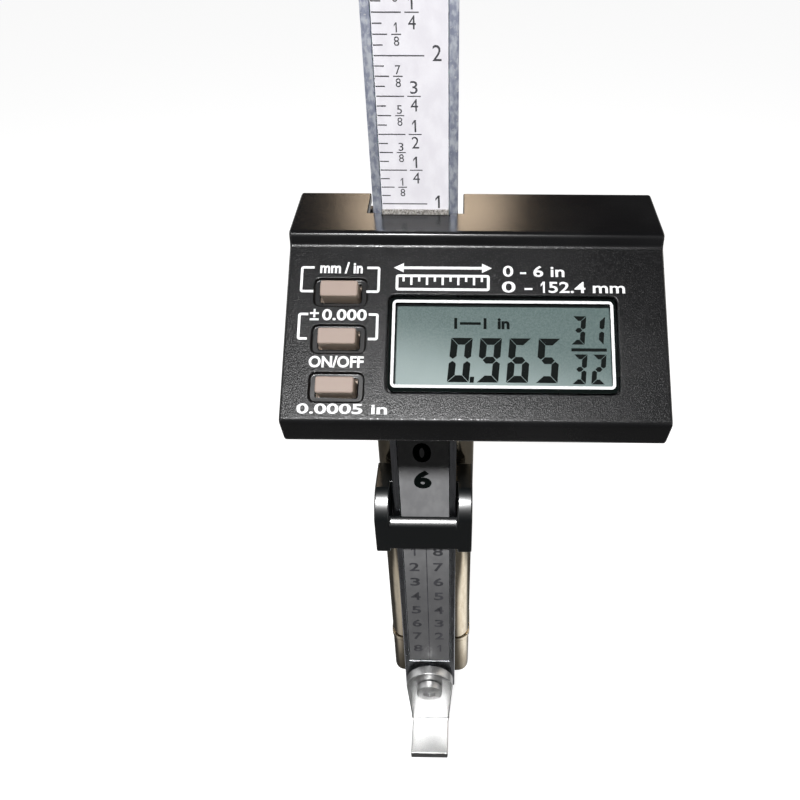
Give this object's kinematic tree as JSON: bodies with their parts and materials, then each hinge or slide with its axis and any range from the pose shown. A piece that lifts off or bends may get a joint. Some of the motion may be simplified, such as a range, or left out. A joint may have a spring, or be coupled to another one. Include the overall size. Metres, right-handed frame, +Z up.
{
  "type": "planer digital readout",
  "caption": "Digital thickness readout for a planer: a sloping display head that slides on a steel rule beam, held by a guide block on a plated rail with a base bracket and a swing foot.",
  "frame": {"origin": "centre of the base bracket's flat rear face, which is screwed to the planer's base", "axes": "+Z up along the beam, +Y out of the bracket's rear face towards the planer, so the display faces -Y, and +X to the right of someone reading it"},
  "size_m": [0.0684, 0.0592, 0.326],
  "materials": {
    "housing_black": "finely textured black moulding",
    "window_clear": "clear polished plastic",
    "screen_grey_green": "satin reflective screen",
    "white_plastic": "moulded",
    "button_taupe": "fine matte",
    "board_green": "solder mask over glass fibre",
    "chip_black": "moulded epoxy",
    "rubber_grey": "matte",
    "felt_grey": "felt",
    "beam_steel": "ground and polished",
    "zinc_steel": "bright zinc plate",
    "dark_steel": "black oxide",
    "plated_bright": "bright plate",
    "brass": "machined",
    "flex_amber": "polyimide film",
    "block_gloss_black": "polished black",
    "label_pale": "printed film",
    "label_grey": "printed film",
    "nylon": "machined nylon"
  },
  "bodies": {
    "base": {"base_bracket": "plated_bright", "rail": "plated_bright", "rail_screw_1": "zinc_steel", "rail_screw_2": "zinc_steel", "guide_block": "block_gloss_black", "guide_pad": "nylon", "block_screw_1": "dark_steel", "block_screw_2": "dark_steel"},
    "beam": {"beam": "beam_steel", "scale_strip": "board_green", "ruler_label": "label_pale", "lower_label": "label_grey", "stop_screw": "dark_steel", "pivot_washer": "zinc_steel", "foot_pivot_screw": "zinc_steel", "foot_pivot_nut": "zinc_steel"},
    "foot": {"foot": "zinc_steel", "foot_pad": "rubber_grey"},
    "head": {"front_housing": "housing_black", "rear_plate": "dark_steel", "rear_plate_screw_1": "zinc_steel", "rear_plate_screw_2": "zinc_steel", "rear_plate_screw_3": "zinc_steel", "rear_plate_screw_4": "zinc_steel", "display_window": "window_clear", "lcd_panel": "screen_grey_green", "lcd_frame": "white_plastic", "contact_strip_upper": "rubber_grey", "contact_strip_lower": "rubber_grey", "display_board": "board_green", "controller_chip": "chip_black", "board_screw_1": "zinc_steel", "board_screw_2": "zinc_steel", "board_screw_3": "zinc_steel", "board_screw_4": "zinc_steel", "units_switch": "chip_black", "zero_switch": "chip_black", "power_switch": "chip_black", "slider_frame": "dark_steel", "gib_left": "brass", "gib_right": "brass", "gib_screw_1": "dark_steel", "gib_screw_2": "dark_steel", "sensor_board": "board_green", "felt_wiper_top": "felt_grey", "felt_wiper_bottom": "felt_grey", "flex_cable": "flex_amber", "battery_tray": "housing_black", "coin_cell": "zinc_steel", "battery_contact_upper": "brass", "battery_contact_side": "brass"},
    "units_button": {"units_button": "button_taupe"},
    "zero_button": {"zero_button": "button_taupe"},
    "power_button": {"power_button": "button_taupe"},
    "battery_cover": {"battery_cover": "housing_black"}
  },
  "joints": [
    {"name": "beam_slide", "type": "slide", "parent": "base", "child": "beam", "axis": [0, 0, 1], "range_m": [0, 0.055]},
    {"name": "head_slide", "type": "slide", "parent": "beam", "child": "head", "axis": [0, 0, 1], "range_m": [-0.0245, 0.1279]},
    {"name": "foot_swing", "type": "hinge", "parent": "beam", "child": "foot", "pos_m": [0, -0.0287, -0.004], "axis": [0, 1, 0], "range_deg": [-90, 90]},
    {"name": "units_press", "type": "slide", "parent": "head", "child": "units_button", "axis": [0, 0.6324, -0.7746], "range_m": [0, 0.0004], "stiffness_N_per_m": 400},
    {"name": "zero_press", "type": "slide", "parent": "head", "child": "zero_button", "axis": [0, 0.6324, -0.7746], "range_m": [0, 0.0004], "stiffness_N_per_m": 400},
    {"name": "power_press", "type": "slide", "parent": "head", "child": "power_button", "axis": [0, 0.6324, -0.7746], "range_m": [0, 0.0004], "stiffness_N_per_m": 400},
    {"name": "battery_cover_slide", "type": "slide", "parent": "head", "child": "battery_cover", "axis": [1, 0, 0], "range_m": [0, 0.0235]}
  ]
}
